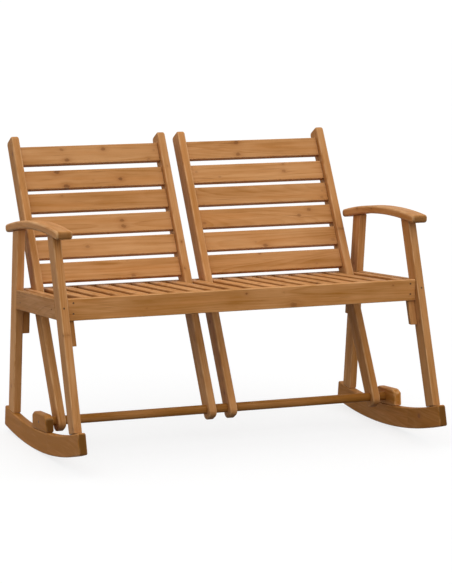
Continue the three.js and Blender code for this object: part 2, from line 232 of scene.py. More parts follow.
# Screw head, and the crossed recess in it. A share is one of the head's radius, and the taper is the size
# of the recess's floor.
HEAD_FLAT_SHARE, HEAD_DEPTH_SHARE, SHANK_SHARE = 0.97, 0.62, 0.49
HEAD_RIM, HEAD_EDGE = 0.12 * MM, 0.4 * MM
TIP_LENGTH = 3 * MM
RECESS_SHARE, RECESS_HALF, RECESS_DEPTH = 0.58, 0.45 * MM, 1.5 * MM
RECESS_TAPER = 0.72

# Places of the screws: distance out from the middle, or back, and height
RAIL_SCREW_OUT, RAIL_SCREW_UPS = 538 * MM, (479.6 * MM, 448 * MM)
SIDE_SCREW_BACKS_UPS = ((136.8 * MM, 428.6 * MM), (-181.9 * MM, 452.9 * MM))
LEG_SCREW_OUT, LEG_SCREW_UP = 570 * MM, 467.2 * MM


def screen(colour):
    """A colour in screen values as the linear values that a shader takes."""

    def one(value):
        value /= 255
        return value / 12.92 if value <= 0.04045 else ((value + 0.055) / 1.055) ** 2.4

    return (*(one(value) for value in colour), 1.0)


def grey(level):
    return (level, level, level, 1.0)


# Node helpers


def set_input(tree, socket, value):
    if isinstance(value, bpy.types.NodeSocket):
        tree.links.new(value, socket)
    else:
        socket.default_value = value


def add_node(tree, kind, inputs=None, **settings):
    made = tree.nodes.new(kind)
    for name, value in settings.items():
        setattr(made, name, value)
    for name, value in (inputs or {}).items():
        set_input(tree, made.inputs[name], value)
    return made


def maths(tree, operation, *values, clamp=False):
    made = add_node(tree, "ShaderNodeMath", operation=operation, use_clamp=clamp)
    for index, value in enumerate(values):
        set_input(tree, made.inputs[index], value)
    return made.outputs[0]


def vector_maths(tree, operation, *values):
    made = add_node(tree, "ShaderNodeVectorMath", operation=operation)
    for index, value in enumerate(values):
        set_input(tree, made.inputs["Scale" if operation == "SCALE" and index else index], value)
    return made.outputs["Value" if operation == "LENGTH" else "Vector"]


def noise(tree, vector, scales, detail=3.0, roughness=0.5, output="Fac"):
    stretched = vector_maths(tree, "MULTIPLY", vector, scales)
    inputs = {"Vector": stretched, "Scale": 1.0, "Detail": detail, "Roughness": roughness}
    return add_node(tree, "ShaderNodeTexNoise", inputs).outputs[output]


def remap(tree, value, low, high, to_low=0.0, to_high=1.0, smooth=False):
    kind = "SMOOTHSTEP" if smooth else "LINEAR"
    inputs = {"Value": value, "From Min": low, "From Max": high, "To Min": to_low, "To Max": to_high}
    return add_node(tree, "ShaderNodeMapRange", inputs, interpolation_type=kind).outputs["Result"]


def blend_colours(tree, factor, first, second):
    """A mix of two colours. The node's colour sockets come after those for numbers and vectors."""
    made = add_node(tree, "ShaderNodeMix", data_type="RGBA")
    for index, value in zip((0, 6, 7), (factor, first, second)):
        set_input(tree, made.inputs[index], value)
    return made.outputs[2]


def new_group(name, inputs, outputs):
    """A node group with its sockets, and the nodes for its two ends."""
    tree = bpy.data.node_groups.new(name, "ShaderNodeTree")
    kinds = {"vector": "NodeSocketVector", "value": "NodeSocketFloat", "colour": "NodeSocketColor"}
    for label, kind in inputs.items():
        tree.interface.new_socket(label, in_out="INPUT", socket_type=kinds[kind])
    for label, kind in outputs.items():
        tree.interface.new_socket(label, in_out="OUTPUT", socket_type=kinds[kind])
    return tree, tree.nodes.new("NodeGroupInput").outputs, tree.nodes.new("NodeGroupOutput")


def weighted_sum(tree, total, parts):
    """The total so far plus each value times its share."""
    for value, share in parts:
        total = maths(tree, "MULTIPLY_ADD", value, share, total)
    return total


def use_group(tree, group, inputs):
    made = tree.nodes.new("ShaderNodeGroup")
    made.node_tree = group
    for name, value in inputs.items():
        set_input(tree, made.inputs[name], value)
    return made.outputs


def end_tree(tree, shader, kind="ShaderNodeOutputMaterial"):
    """Ends a node tree in this shader."""
    output = tree.nodes.new(kind)
    tree.links.new(shader.outputs[0], output.inputs["Surface"])


# Wood


def knot_group():
    """One knot: it bends the grain round itself, and adds to the core and halo of the knots before it."""
    running = {"Warp": "vector", "Core": "value", "Halo": "value"}
    inputs = {"Place": "vector", "Centre": "vector", "Mask": "vector", "Radius": "value", "Strength": "value"}
    tree, given, end = new_group("knot", {**inputs, **running}, running)
    away = vector_maths(tree, "SUBTRACT", given["Place"], given["Centre"])
    away = vector_maths(tree, "MULTIPLY", away, given["Mask"])
    flat = vector_maths(tree, "MULTIPLY", away, KNOT_OVAL)
    ragged = noise(tree, given["Place"], KNOT_RIM_SCALE, detail=2.0)
    reach = maths(tree, "DIVIDE", vector_maths(tree, "LENGTH", flat), given["Radius"])
    reach = maths(tree, "ADD", reach, remap(tree, ragged, *KNOT_RAGGED))
    core = remap(tree, reach, CORE_FROM, CORE_TO, smooth=True)
    rings = maths(tree, "SINE", maths(tree, "MULTIPLY", reach, KNOT_RINGS))
    core = maths(tree, "MULTIPLY", core, remap(tree, rings, -1.0, 1.0, KNOT_RING_LOW, 1.0))
    core = maths(tree, "MULTIPLY", core, given["Strength"])
    fade = maths(tree, "MULTIPLY", maths(tree, "MULTIPLY", reach, reach), HALO_FADE)
    fade = maths(tree, "EXPONENT", fade)
    halo = maths(tree, "MULTIPLY", fade, given["Strength"])
    pulled = vector_maths(tree, "SCALE", away, maths(tree, "MULTIPLY", fade, GRAIN_PULL))
    pulled = vector_maths(tree, "MULTIPLY", pulled, ACROSS)
    set_input(tree, end.inputs["Warp"], vector_maths(tree, "ADD", given["Warp"], pulled))
    set_input(tree, end.inputs["Core"], maths(tree, "MAXIMUM", given["Core"], core))
    set_input(tree, end.inputs["Halo"], maths(tree, "MAXIMUM", given["Halo"], halo))
    return tree


def wood_group():
    """Stained softwood as a solid: growth rings round a pith, fibres, blotches, knots, edge wear with a
    painted highlight, and painted shade between the seat strips.
    """
    vectors = dict.fromkeys(("Place", "Seed", "Pith", "Tilt"), "vector")
    values = dict.fromkeys(("Spacing", "Tone", "Shade", "Core", "Halo", "WearAndHighlight", "End", "PaintedGapShade"), "value")
    results = {"Color": "colour", "Roughness": "value", "Height": "value"}
    tree, given, end = new_group("wood", {**vectors, **values}, results)
    place = given["Place"]
    seeded = vector_maths(tree, "ADD", place, given["Seed"])

    drift = noise(tree, seeded, DRIFT_SCALE, detail=2.0, output="Color")
    drift = vector_maths(tree, "SUBTRACT", drift, (0.5, 0.5, 0.5))
    drift = vector_maths(tree, "MULTIPLY", drift, DRIFT_REACH)
    along = add_node(tree, "ShaderNodeSeparateXYZ", {"Vector": place}).outputs["X"]
    from_pith = vector_maths(tree, "SUBTRACT", vector_maths(tree, "ADD", place, drift), given["Pith"])
    from_pith = vector_maths(tree, "ADD", from_pith, vector_maths(tree, "SCALE", given["Tilt"], along))
    from_pith = vector_maths(tree, "MULTIPLY", from_pith, ACROSS)
    radius = vector_maths(tree, "LENGTH", from_pith)
    phase = maths(tree, "DIVIDE", radius, given["Spacing"])
    inputs = {"W": phase, "Scale": RING_UNEVEN_SCALE}
    uneven = add_node(tree, "ShaderNodeTexNoise", inputs, noise_dimensions="1D").outputs["Fac"]
    phase = maths(tree, "ADD", phase, maths(tree, "MULTIPLY", uneven, RING_UNEVEN))
    ramp = add_node(tree, "ShaderNodeValToRGB", {"Fac": maths(tree, "FRACT", phase)})
    ramp.color_ramp.interpolation = "B_SPLINE"
    for position, level in RING_STOPS:
        stop = ramp.color_ramp.elements.new(position)
        stop.color = grey(level)
    ramp.color_ramp.elements[-1].color = grey(0.0)
    year = maths(tree, "FLOOR", phase)
    strength = add_node(tree, "ShaderNodeTexWhiteNoise", {"W": year}, noise_dimensions="1D").outputs["Value"]
    strength = remap(tree, strength, 0.0, 1.0, RING_WEAKEST, 1.0)
    ring = maths(tree, "MULTIPLY", ramp.outputs["Color"], strength)

    fibre = noise(tree, seeded, FIBRE_SCALE, roughness=0.6)
    streak = noise(tree, seeded, STREAK_SCALE, detail=4.0, roughness=0.6)
    blotch = noise(tree, seeded, BLOTCH_SCALE, roughness=0.55)
    warmth = noise(tree, vector_maths(tree, "ADD", seeded, WARMTH_SHIFT), WARMTH_SCALE, detail=2.0)
    vein = noise(tree, vector_maths(tree, "ADD", seeded, VEIN_SHIFT), VEIN_SCALE, detail=1.0)
    # Lighter patches on the rounded edges: partly wear, partly a painted highlight
    edge_wear_and_highlight = remap(tree, noise(tree, seeded, EDGE_WEAR_AND_HIGHLIGHT_SCALE), *EDGE_WEAR_AND_HIGHLIGHT_RANGE)
    edge_wear_and_highlight = maths(tree, "MULTIPLY", maths(tree, "MULTIPLY", given["WearAndHighlight"], edge_wear_and_highlight), EDGE_WEAR_AND_HIGHLIGHT_MOST)
    swell = noise(tree, seeded, SWELL_SCALE, detail=2.0)

    centred = (maths(tree, "SUBTRACT", source, 0.5) for source in (streak, fibre, blotch))
    dark = maths(tree, "MULTIPLY_ADD", ring, RING_DARK, given["Tone"])
    dark = weighted_sum(tree, dark, zip(centred, (STREAK_DARK, FIBRE_DARK, BLOTCH_DARK)))
    colour = screen(LIGHT_GRAIN)
    layers = (
        (remap(tree, dark, *LIGHT_TO_MID), MID_GRAIN),
        (remap(tree, dark, *MID_TO_DARK), DARK_GRAIN),
        (remap(tree, warmth, *WARM_RANGE), ORANGE_GRAIN),
        (remap(tree, vein, *VEIN_RANGE), VEIN),
        (maths(tree, "MULTIPLY", given["End"], END_MOST, clamp=True), END_GRAIN),
        (maths(tree, "MULTIPLY", given["Halo"], HALO_MOST, clamp=True), KNOT_HALO),
        (maths(tree, "MULTIPLY", given["Core"], CORE_MOST, clamp=True), KNOT_CORE),
        (edge_wear_and_highlight, EDGE_WEAR_AND_HIGHLIGHT),
    )
    for share, layer in layers:
        colour = blend_colours(tree, share, colour, screen(layer))
    colour = vector_maths(tree, "SCALE", colour, given["Shade"])
    # Painted shade: the sides of the seat strips, where they face each other, are darkened
    colour = vector_maths(tree, "MULTIPLY", colour, blend_colours(tree, given["PaintedGapShade"], WHITE, PAINTED_GAP_TINT))
    set_input(tree, end.inputs["Color"], colour)

    rough_parts = (
        (fibre, FIBRE_ROUGH),
        (ring, RING_ROUGH),
        (edge_wear_and_highlight, RUBBED_ROUGH),
        (given["End"], END_ROUGH),
        (given["Core"], CORE_ROUGH),
    )
    rough = maths(tree, "MINIMUM", weighted_sum(tree, WOOD_ROUGH, rough_parts), 1.0)
    set_input(tree, end.inputs["Roughness"], rough)

    relief_parts = (
        (fibre, FIBRE_RELIEF),
        (ring, RING_RELIEF),
        (swell, SWELL_RELIEF),
        (given["Core"], CORE_RELIEF),
    )
    set_input(tree, end.inputs["Height"], weighted_sum(tree, 0.0, relief_parts))
    return tree


def read_attribute(tree, name, output):
    return add_node(tree, "ShaderNodeAttribute", attribute_name=name).outputs[output]


def new_material(name):
    """A material without nodes, and its node tree."""
    material = bpy.data.materials.new(name)
    material.use_nodes = True
    material.node_tree.nodes.clear()
    return material, material.node_tree


def wood_material(name, tone, shade, knots, joints=()):
    """Wood for one board.

    The tone takes the wood towards the darker colours, and the shade multiplies what comes of it. A knot
    is (along, across, through, radius, strength, the axis that it runs along). A joint is (along, change
    of tone), where one length of wood is glued to the next.
    """
    draw = random.Random("grain of " + name)
    material, tree = new_material(name)
    place = read_attribute(tree, PLACE, "Vector")
    found = {"Warp": (0.0, 0.0, 0.0), "Core": 0.0, "Halo": 0.0}
    for along, across, through, radius, strength, axis in knots:
        given = {
            "Place": place,
            "Centre": (along, across, through),
            "Mask": (1.0, float(axis != "across"), float(axis != "through")),
            "Radius": radius,
            "Strength": strength,
        }
        outputs = use_group(tree, KNOT, {**given, **found})
        found = {label: outputs[label] for label in found}
    seed = tuple(draw.uniform(*SEED_DRAW) for _ in range(3))
    own_tone = tone + draw.uniform(*TONE_DRAW)
    if joints:
        along = add_node(tree, "ShaderNodeSeparateXYZ", {"Vector": place}).outputs["X"]
    for joint, change in joints:
        past = maths(tree, "GREATER_THAN", along, joint)
        own_tone = maths(tree, "MULTIPLY_ADD", past, change, own_tone)
        seed = vector_maths(tree, "ADD", seed, vector_maths(tree, "SCALE", JOINT_SHIFT, past))
        away = maths(tree, "ABSOLUTE", maths(tree, "SUBTRACT", along, joint))
        found["Halo"] = maths(tree, "MAXIMUM", found["Halo"], remap(tree, away, JOINT_FROM, JOINT_TO))
    pith_across = draw.uniform(*PITH_ACROSS_DRAW) * MM
    pith_through = draw.choice((-1, 1)) * draw.uniform(*PITH_THROUGH_DRAW) * MM
    given = {
        "Place": vector_maths(tree, "ADD", place, found["Warp"]),
        "Seed": seed,
        "Pith": (0.0, pith_across, pith_through),
        "Tilt": (0.0, draw.uniform(*TILT_ACROSS_DRAW), draw.uniform(*TILT_THROUGH_DRAW)),
        "Spacing": draw.uniform(*SPACING_DRAW) * MM,
        "Tone": own_tone,
        "Shade": shade * draw.uniform(*SHADE_DRAW),
        "Core": found["Core"],
        "Halo": found["Halo"],
        "WearAndHighlight": read_attribute(tree, WEAR_AND_HIGHLIGHT, "Fac"),
        "End": read_attribute(tree, END, "Fac"),
        "PaintedGapShade": read_attribute(tree, PAINTED_GAP_SHADE, "Fac"),
    }
    wood = use_group(tree, WOOD, given)
    relief = {"Height": wood["Height"], "Strength": WOOD_BUMP, "Distance": 1.0}
    bump = add_node(tree, "ShaderNodeBump", relief)
    surface = {
        "Base Color": wood["Color"],
        "Roughness": wood["Roughness"],
        "Normal": bump.outputs["Normal"],
        "Specular IOR Level": WOOD_GLOSS,
    }
    end_tree(tree, add_node(tree, "ShaderNodeBsdfPrincipled", surface))
    return material


def steel_material():
    """Dull brown steel, scratched and a little darker in patches."""
    material, tree = new_material("screw_steel")
    place = add_node(tree, "ShaderNodeTexCoord").outputs["Object"]
    patches = noise(tree, place, STEEL_PATCH_SCALE)
    scratches = noise(tree, place, SCRATCH_SCALE, detail=2.0)
    colour = blend_colours(tree, patches, screen(STEEL_DARK), screen(STEEL_PALE))
    height = maths(tree, "MULTIPLY", scratches, SCRATCH_RELIEF)
    bump = add_node(tree, "ShaderNodeBump", {"Height": height, "Distance": 1.0})
    surface = {
        "Base Color": colour,
        "Metallic": 1.0,
        "Roughness": remap(tree, patches, *STEEL_ROUGH),
        "Normal": bump.outputs["Normal"],
    }
    end_tree(tree, add_node(tree, "ShaderNodeBsdfPrincipled", surface))
    return material


KNOT = knot_group()
WOOD = wood_group()
STEEL = steel_material()


# Boards


def bare_mesh(node):
    """A copy of a CAD node's surface as a bmesh, with one face for each flat side."""
    mesh = bmesh.new()
    mesh.from_mesh(frame["nodes"][node].data)
    bmesh.ops.remove_doubles(mesh, verts=mesh.verts, dist=WELD)
    limit = math.radians(FLAT_ANGLE)
    bmesh.ops.dissolve_limit(mesh, angle_limit=limit, verts=mesh.verts, edges=mesh.edges)
    mesh.normal_update()
    return mesh


def signed(direction, positive):
    """The direction, turned so that its largest part is positive or negative."""
    largest = max(direction, key=abs)
    return direction if (largest > 0) == positive else -direction


def board_axes(mesh, along=None, through=None):
    """Directions along the grain, across the board and through it, worked out where they aren't given."""
    if along is None:
        longest = max(mesh.edges, key=lambda edge: edge.calc_length())
        along = signed((longest.verts[1].co - longest.verts[0].co).normalized(), True)
    if through is None:
        sides = [face for face in mesh.faces if abs(face.normal.dot(along)) < SIDE_LIMIT]
        through = signed(max(sides, key=lambda face: face.calc_area()).normal.copy(), False)
    return along, through.cross(along).normalized(), through


def screw_holes(mesh, holes):
    """Cuts each round hole (middle, direction inwards) in a board."""
    data = bpy.data.meshes.new("board")
    mesh.to_mesh(data)
    board = bpy.data.objects.new("board", data)
    bpy.context.scene.collection.objects.link(board)
    cutters = []
    start, finish = -HOLE_OVERRUN, HOLE_DEPTH
    profile = [(0.0, start), (HOLE_RADIUS, start), (HOLE_RADIUS, finish), (0.0, finish)]
    for middle, inwards in holes:
        cutter = turned_object("cutter", profile, middle, inwards, SCREW_SIDES)
        cutters.append(cutter)
        modifier = board.modifiers.new("hole", "BOOLEAN")
        modifier.operation = "DIFFERENCE"
        modifier.solver = "EXACT"
        modifier.object = cutter
    done = bmesh.new()
    done.from_mesh(board.evaluated_get(bpy.context.evaluated_depsgraph_get()).to_mesh())
    for item in (board, *cutters):
        bpy.data.objects.remove(item)
    bmesh.ops.remove_doubles(done, verts=done.verts, dist=WELD)
    done.normal_update()
    return done


def add_rings(mesh, profile, sides):
    """Rings round +Z with faces between them, from (radius, distance) pairs. A radius of 0 is a point."""
    rings = []
    for radius, distance in profile:
        turns = [math.tau * step / sides for step in range(sides if radius else 1)]
        spots = [(radius * math.cos(turn), radius * math.sin(turn), distance) for turn in turns]
        rings.append([mesh.verts.new(spot) for spot in spots])
    for low, high in zip(rings, rings[1:]):
        for step in range(sides):
            after = (step + 1) % sides
            pairs = ((low, step), (low, after), (high, after), (high, step))
            corners = [ring[place % len(ring)] for ring, place in pairs]
            mesh.faces.new(list(dict.fromkeys(corners)))
    return rings


def pose_mesh(mesh, middle, inwards, turn=Matrix.Identity(4)):
    """Takes a mesh's zero to a place and its +Z to a direction, after a turn that is given as a matrix."""
    aim = Vector(inwards).to_track_quat("Z", "Y").to_matrix().to_4x4()
    mesh.transform(Matrix.Translation(middle) @ aim @ turn)


def new_object(name, mesh):
    """An object with this bmesh, which is used up."""
    data = bpy.data.meshes.new(name)
    mesh.to_mesh(data)
    mesh.free()
    made = bpy.data.objects.new(name, data)
    bpy.context.scene.collection.objects.link(made)
    return made


def turned_object(name, profile, middle, inwards, sides):
    """A round closed piece from a profile that starts and ends on its axis."""
    mesh = bmesh.new()
    add_rings(mesh, profile, sides)
    bmesh.ops.recalc_face_normals(mesh, faces=mesh.faces)
    pose_mesh(mesh, middle, inwards)
    return new_object(name, mesh)


def ease_edges(mesh, widths):
    """The mesh with rounded edges, whose radii are given by edge number. The new faces have material 1."""
    widest = max(widths.values())
    weight = mesh.edges.layers.float.new("bevel_weight_edge")
    mesh.edges.ensure_lookup_table()
    for number, width in widths.items():
        mesh.edges[number][weight] = width / widest
    board = new_object("board", mesh)
    board.data.materials.append(None)
    board.data.materials.append(None)
    modifier = board.modifiers.new("eased", "BEVEL")
    modifier.limit_method = "WEIGHT"
    modifier.offset_type = "OFFSET"
    modifier.width = widest
    modifier.segments = EASE_STEPS
    modifier.use_clamp_overlap = False
    modifier.loop_slide = False
    modifier.material = 1
    done = bmesh.new()
    done.from_mesh(board.evaluated_get(bpy.context.evaluated_depsgraph_get()).to_mesh())
    bpy.data.objects.remove(board)
    done.edges.layers.float.remove(done.edges.layers.float["bevel_weight_edge"])
    done.normal_update()
    return done


def sharp_edges(mesh):
    sharp = math.radians(SHARP_ANGLE)
    return [edge for edge in mesh.edges if len(edge.link_faces) == 2 and edge.calc_face_angle() > sharp]


def smooth_piece(piece):
    """Smooth shading that leaves the large faces flat."""
    for face in piece.data.polygons:
        face.use_smooth = True
    piece.modifiers.new("flat_faces", "WEIGHTED_NORMAL").weight = FLAT_WEIGHT


def add_values(data, name, values, domain="POINT"):
    """An attribute of a mesh with one number for each point or face."""
    data.attributes.new(name, "FLOAT", domain).data.foreach_set("value", values)


def add_places(data, places):
    """The attribute that carries each point's place in its board: along, across and through."""
    data.attributes.new(PLACE, "FLOAT_VECTOR", "POINT").data.foreach_set("vector", np.ravel(places))


def make_board(
    node, body, slot, ease, tone, shade, knots, holes,
    along=None, through=None, rims=(), end_share=1.0, end_ease=None, worn_share=1.0,
):
    """Replaces a CAD node by the same board with rounded edges and its own piece of wood.

    Its edges have a radius of ease, or of end_ease across the grain. The shares scale the darker stain of its
    end grain and the wear and painted highlight on its edges.
    """
    mesh = bare_mesh(node)
    axes = board_axes(mesh, along, through)
    corners = np.array([vertex.co for vertex in mesh.verts])
    middle = Vector((corners.max(0) + corners.min(0)) / 2)
    if holes:
        mesh = screw_holes(mesh, holes)

    small = [(*rim, RIM_REACH, RIM_EASE) for rim in rims]
    small += [(*hole, HOLE_RIM_REACH, HOLE_EASE) for hole in holes]

    def width(edge):
        points = [vertex.co for vertex in edge.verts]
        for place, way, reach, radius in small:
            if all(near_axis(point, place, way, reach) for point in points):
                return radius
        across = abs((points[1] - points[0]).normalized().dot(axes[0])) < ACROSS_LIMIT
        return end_ease if end_ease and across else ease

    mesh.edges.index_update()
    mesh = ease_edges(mesh, {edge.index: width(edge) for edge in sharp_edges(mesh)})
    # Patchy lighter colour on the rounded edges: partly wear, partly a painted highlight
    wear_and_highlight = [worn_share * all(face.material_index for face in vertex.link_faces) for vertex in mesh.verts]
    ends = [end_share * facing(vertex, axes[0]) for vertex in mesh.verts]
    # Painted shade on the sides of the seat strips, which face each other
    painted_gap_shades = [facing(vertex, axes[1]) * float(node.startswith("seat")) for vertex in mesh.verts]
    places = [[(vertex.co - middle).dot(axis) for axis in axes] for vertex in mesh.verts]
    for face in mesh.faces:
        face.material_index = 0
    piece = new_object("wood_" + node, mesh)
    add_places(piece.data, places)
    add_values(piece.data, WEAR_AND_HIGHLIGHT, wear_and_highlight)
    add_values(piece.data, END, ends)
    add_values(piece.data, PAINTED_GAP_SHADE, painted_gap_shades)
    knots = list(knots) + drawn_knots(node, places)
    wood = wood_material("wood_" + node, tone, shade, knots, JOINTS.get(node, ()))
    piece.data.materials.append(wood)
    smooth_piece(piece)
    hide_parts(node)
    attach(piece, body)


def facing(vertex, way):
    """How squarely a vertex faces along a line, from 0 to 1."""
    share = (abs(vertex.normal.dot(way)) - FACING_FROM) / (FACING_TO - FACING_FROM)
    share = min(max(share, 0.0), 1.0)
    return share * share * (3 - 2 * share)


def near_axis(point, place, way, reach):
    """Whether a point is within a distance of the line through a place."""
    away = point - Vector(place)
    return (away - away.dot(Vector(way)) * Vector(way)).length < reach


def drawn_knots(node, places):
    """A few small knots in places drawn for a board, more on a longer one."""
    if node in PLACED_KNOTS:
        return []
    draw = random.Random("knots of " + node)
    reach = np.abs(places).max(0)
    axis = "through" if reach[1] > reach[2] * KNOT_FLAT_SHARE else "across"
    count = int(reach[0] * 2 / KNOT_PITCH + draw.uniform(*KNOT_EXTRA_DRAW))
    found = []
    for _ in range(count):
        spot = [draw.uniform(*KNOT_SPOT_DRAW) * side for side in reach]
        radius = draw.uniform(*KNOT_RADIUS_DRAW) * MM
        found.append((*spot, radius, draw.uniform(*KNOT_STRENGTH_DRAW), axis))
    return found


# Knots that the photograph shows: mm along and across from the board's middle, radius in mm, and strength.
# A board in this table gets no drawn knots.
SEEN_KNOTS = {
    "back_left_slat_1": [
        (-80, -19, 5.2, 0.8), (44, 15, 4.6, 0.75), (-92, 17, 3.8, 0.5),
        (190, -25, 3.4, 0.4), (212, 5, 3.0, 0.3),
    ],
    "back_left_slat_2": [(-96, -26, 6.2, 1.0), (84, -7, 4.6, 1.0), (-120, 25, 6.2, 1.0), (-6, -7, 2.2, 0.2)],
    "back_left_slat_3": [(-116, 21, 2.4, 0.35)],
    "back_left_slat_4": [(64, 7, 4.4, 0.75), (67, -13, 5.0, 0.7)],
    "back_left_slat_5": [(-62, 1, 4.4, 0.45)],
    "back_left_slat_6": [(70, -25, 4.6, 0.6), (58, 24, 2.6, 0.2)],
    "back_right_slat_1": [(-53, 22, 5.4, 0.8), (-54, -19, 5.0, 0.75)],
    "back_right_slat_2": [
        (92, -1, 4.6, 0.5), (94, 24, 3.2, 0.35), (-132, -13, 3.2, 0.35), (-208, 7, 3.0, 0.3),
    ],
    "back_right_slat_3": [(206, -20, 4.0, 0.35), (212, 2, 3.0, 0.3)],
    "back_right_slat_4": [(152, 15, 4.4, 0.6), (114, -3, 4.4, 0.55), (-214, -15, 3.6, 0.5)],
    "back_right_slat_5": [(-22, -24, 5.4, 0.7), (214, -15, 4.6, 0.35), (-54, -11, 2.6, 0.25)],
    "back_right_slat_6": [(-48, 27, 3.4, 0.6), (140, -17, 3.0, 0.25)],
    "rocker_left": [],
    "rocker_right": [(-234, -10, 6.0, 0.8)],
    "front_rail": [
        (152, -25, 7.0, 0.62), (0, 18, 2.4, 1.0), (480, 18, 2.6, 0.6),
        (-314, -8, 2.2, 0.25), (120, 16, 2.4, 0.2),
    ],
}
PLACED_KNOTS = {
    node: [
        (along * MM, across * MM, 0.0, KNOT_SIZE * radius, strength, "through")
        for along, across, radius, strength in knots
    ]
    for node, knots in SEEN_KNOTS.items()
}
PLACED_KNOTS["back_left_inner_stile"] = [
    (354.5 * MM, 0.0, 0.0, 3 * MM, 0.4, "across"),
    (94 * MM, 0.0, 0.0, 3.4 * MM, 0.8, "across"),
    (4.5 * MM, 0.0, 6 * MM, 3 * MM, 0.7, "across"),
]

# Glued joints in the rockers: distance along the board from its middle, and the change of tone behind it
JOINTS = {"rocker_left": [(-69 * MM, 0.22)], "rocker_right": [(-155 * MM, -0.16)]}

X_AXIS, Y_AXIS, Z_AXIS = Vector((1, 0, 0)), Vector((0, 1, 0)), Vector((0, 0, 1))
SIDES = ((-1, "left"), (1, "right"))
ROD_LOW, ROD_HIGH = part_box("rod")
ROD_MIDDLE = (ROD_LOW + ROD_HIGH) / 2

# Arguments of make_board: bores for the rod, and boards that run front to back, on edge or lying flat
ROD_BORE = {"rims": [(ROD_MIDDLE, X_AXIS)]}
ON_EDGE = {"along": Y_AXIS, "through": -X_AXIS}
LYING = {"along": Y_AXIS, "through": -Z_AXIS}

# Slot, edge radius, tone, shade and other arguments of make_board, by the first part of a name that fits
KINDS = (
    ("_slat_", "wood_back", 2.6 * MM, -0.05, 1.0, {}),
    ("_stile", "wood_back", 5.2 * MM, 0.04, 1.02, {"through": -X_AXIS, **ROD_BORE, "end_share": 0.27}),
    # The seat strips are made lighter, which paints light from above on them
    ("seat_", "wood_seat", 6 * MM, -0.08, 1.12, {"end_ease": 2 * MM}),
    ("front_rail", "wood_frame", 2.6 * MM, 0.2, 1.2, {}),
    ("_rail", "wood_frame", 2.6 * MM, 0.1, 0.98, {}),
    ("_ledger", "wood_frame", 1.4 * MM, 0.12, 0.95, {}),
    ("front_leg", "wood_frame", 3.8 * MM, 0.08, 0.92, {"through": -X_AXIS}),
    ("rear_leg", "wood_frame", 3.8 * MM, 0.08, 1.08, {"through": -X_AXIS}),
    ("_cleat_", "wood_frame", 1.2 * MM, 0.16, 0.95, {}),
    ("armrest", "wood_frame", 7.5 * MM, 0.0, 1.04, {**LYING, "end_share": 0.62}),
    # The darker tone of the rockers and the left block is partly the wood's colour and partly painted shade
    # near the floor
    ("rocker_", "wood_rocker", 4.6 * MM, 0.6, 1.12, {**ON_EDGE, "end_share": 1.1, "worn_share": 0.3}),
    (
        "block_left", "wood_rocker", 6 * MM, 0.6, 1.06,
        {**ON_EDGE, **ROD_BORE, "end_share": 1.1, "worn_share": 0.3},
    ),
    ("block_right", "wood_rocker", 6 * MM, 0.4, 1.32, {**ON_EDGE, **ROD_BORE, "end_share": 0.1}),
)


def make_boards():
    """A board for each node but the rod and its screws."""
    holes = screw_places()
    for body, nodes in frame["record"]["behaviour"]["bodies"].items():
        for node in nodes:
            if node == "rod" or node.startswith("rod_screw"):
                continue
            slot, ease, tone, shade, others = next(kind[1:] for kind in KINDS if kind[0] in node)
            knots = PLACED_KNOTS.get(node, ())
            own_holes = [hole for owner, *hole in holes if owner == node]
            make_board(node, body, slot, ease, tone, shade, knots, own_holes, **others)


def make_rod():
    """The cross rod, rounder than its collision shape, with a small chamfer at each end."""
    radius = (ROD_HIGH.z - ROD_LOW.z) / 2
    length = ROD_HIGH.x - ROD_LOW.x
    flat = radius - ROD_CHAMFER
    straight = length - 2 * ROD_CHAMFER
    rows = [(radius, ROD_CHAMFER + straight * step / ROD_STEPS) for step in range(ROD_STEPS + 1)]
    profile = [(0.0, 0.0), (flat, 0.0), *rows, (flat, length), (0.0, length)]
    start = (ROD_LOW.x, ROD_MIDDLE.y, ROD_MIDDLE.z)
    piece = turned_object("wood_rod", profile, start, X_AXIS, ROD_SIDES)
    places = [vertex.co - ROD_MIDDLE for vertex in piece.data.vertices]
    ends = [float(abs(face.normal.x) > ROD_END_LIMIT) for face in piece.data.polygons]
    add_places(piece.data, places)
    add_values(piece.data, END, ends, "FACE")
    wood = wood_material("wood_rod", ROD_TONE, ROD_SHADE, drawn_knots("rod", places))
    piece.data.materials.append(wood)
    smooth_piece(piece)
    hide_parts("rod")
    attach(piece, "frame")


# Screws


def screw_places():
    """Node, middle of the hole and direction inwards for each screw in the photograph, and for its twin."""
    rail_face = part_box("front_rail")[0].y
    found = []
    for side, name in SIDES:
        for up in RAIL_SCREW_UPS:
            found.append(("front_rail", Vector((side * RAIL_SCREW_OUT, rail_face, up)), Y_AXIS))
        face = outer_face("side_rail_" + name, side)
        for back, up in SIDE_SCREW_BACKS_UPS:
            found.append(("side_rail_" + name, Vector((face, back, up)), -side * X_AXIS))
        leg = bare_mesh("front_leg_" + name)
        front = max(leg.faces, key=lambda item: -item.normal.y * item.calc_area())
        on_face, normal = front.verts[0].co, front.normal.copy()
        rise = LEG_SCREW_UP - on_face.z
        spot = Vector((side * LEG_SCREW_OUT, on_face.y - rise * normal.z / normal.y, LEG_SCREW_UP))
        found.append(("front_leg_" + name, spot, -normal))
        leg.free()
    return found


def outer_face(node, side):
    """The X of a node's outermost side."""
    low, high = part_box(node)
    return high.x if side > 0 else low.x


